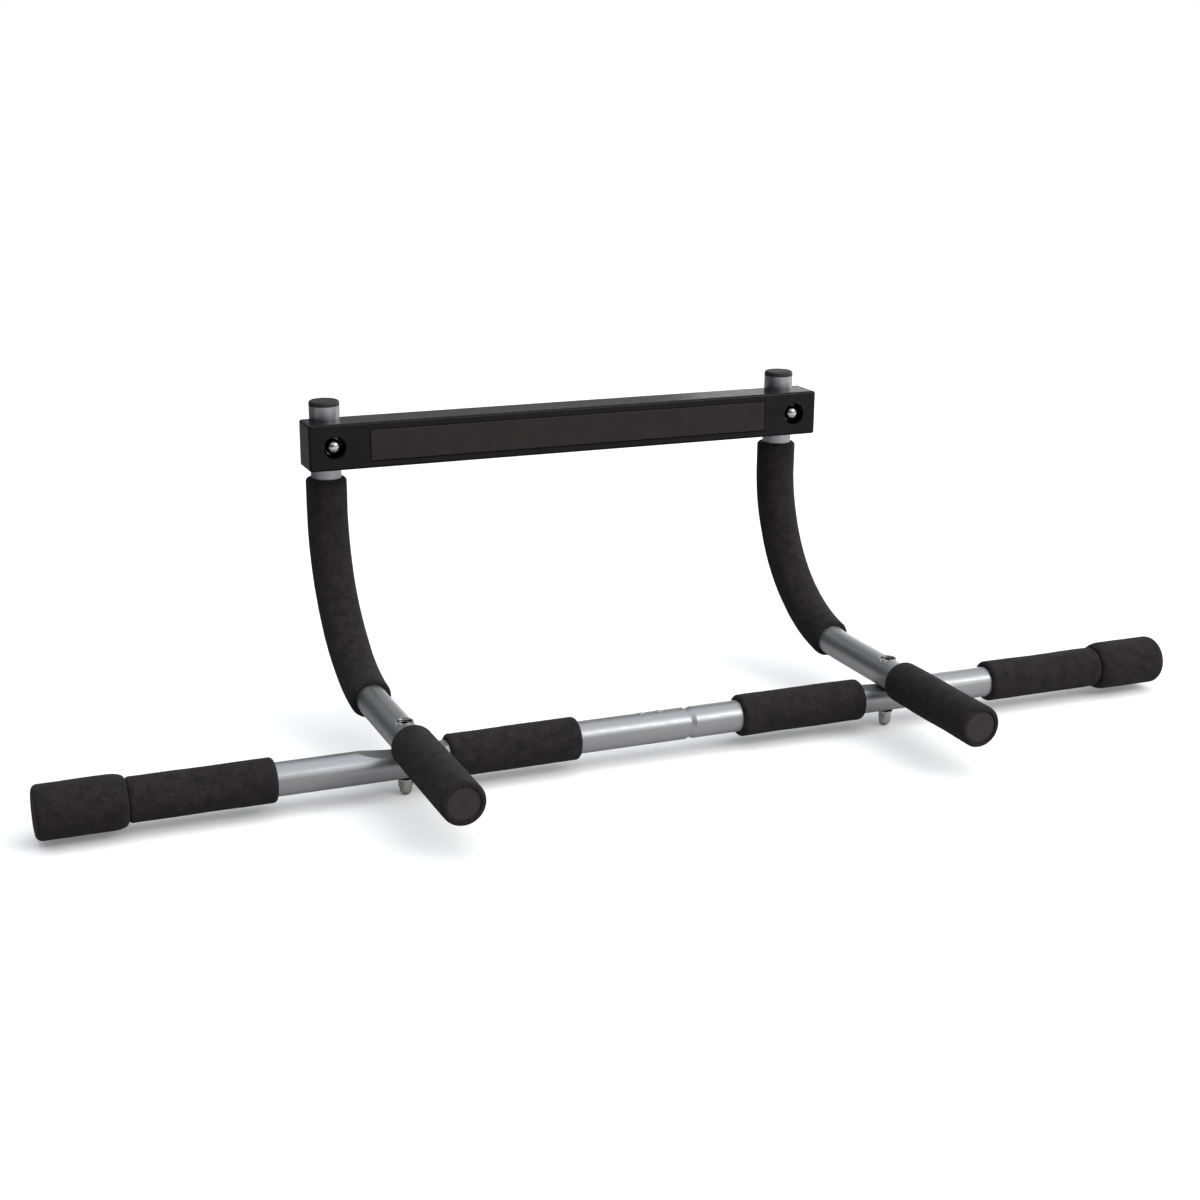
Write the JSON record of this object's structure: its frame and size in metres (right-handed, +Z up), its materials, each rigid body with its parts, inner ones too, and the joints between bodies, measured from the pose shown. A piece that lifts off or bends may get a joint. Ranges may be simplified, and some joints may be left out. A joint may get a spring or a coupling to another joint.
{
  "type": "doorway pull up bar",
  "caption": "Doorway pull up bar: foam-gripped long bar, bent tubes with forward handles, and a padded crossbar that rests on the wall above the door.",
  "frame": {"origin": "centre of the crossbar pad's front face, in the plane of the wall above the door", "axes": "+X along the long bar to the right, +Y away from the wall towards the back of the crossbar, +Z up"},
  "size_m": [0.956, 0.3708, 0.2641],
  "materials": {
    "tube_paint": "satin silver-grey paint",
    "grip_foam": "matte closed-cell foam",
    "plug_plastic": "fine-grained moulded plastic",
    "crossbar_plastic": "semi-gloss black moulding",
    "wall_pad_rubber": "matte soft pad",
    "strip_steel": "bare galvanised strip",
    "zinc_steel": "bright zinc plating"
  },
  "bodies": {
    "root": {"bar_end_plug_left": "plug_plastic", "bar_end_plug_right": "plug_plastic", "bent_tube_left": "tube_paint", "bent_tube_right": "tube_paint", "crossbar_bolt_left": "zinc_steel", "crossbar_bolt_right": "zinc_steel", "crossbar_cap_nut_left": "zinc_steel", "crossbar_cap_nut_right": "zinc_steel", "crossbar_core": "strip_steel", "crossbar_pad": "wall_pad_rubber", "crossbar_saddle_left": "zinc_steel", "crossbar_saddle_right": "zinc_steel", "crossbar_shell": "crossbar_plastic", "crossbar_washer_left": "zinc_steel", "crossbar_washer_right": "zinc_steel", "crossing_bolt_left": "zinc_steel", "crossing_bolt_right": "zinc_steel", "crossing_bushing_left": "zinc_steel", "crossing_bushing_right": "zinc_steel", "crossing_cap_nut_left": "zinc_steel", "crossing_cap_nut_right": "zinc_steel", "crossing_spacer_left": "zinc_steel", "crossing_spacer_right": "zinc_steel", "crossing_washer_left": "zinc_steel", "crossing_washer_right": "zinc_steel", "curve_pad_left": "grip_foam", "curve_pad_right": "grip_foam", "end_cuff_left": "grip_foam", "end_cuff_right": "grip_foam", "front_grip_left": "grip_foam", "front_grip_right": "grip_foam", "front_plug_left": "plug_plastic", "front_plug_right": "plug_plastic", "inner_grip_left": "grip_foam", "inner_grip_right": "grip_foam", "joint_screw_inner": "zinc_steel", "joint_screw_outer": "zinc_steel", "long_bar_left": "tube_paint", "long_bar_right": "tube_paint", "outer_grip_left": "grip_foam", "outer_grip_right": "grip_foam", "top_plug_left": "plug_plastic", "top_plug_right": "plug_plastic"}
  },
  "joints": []
}
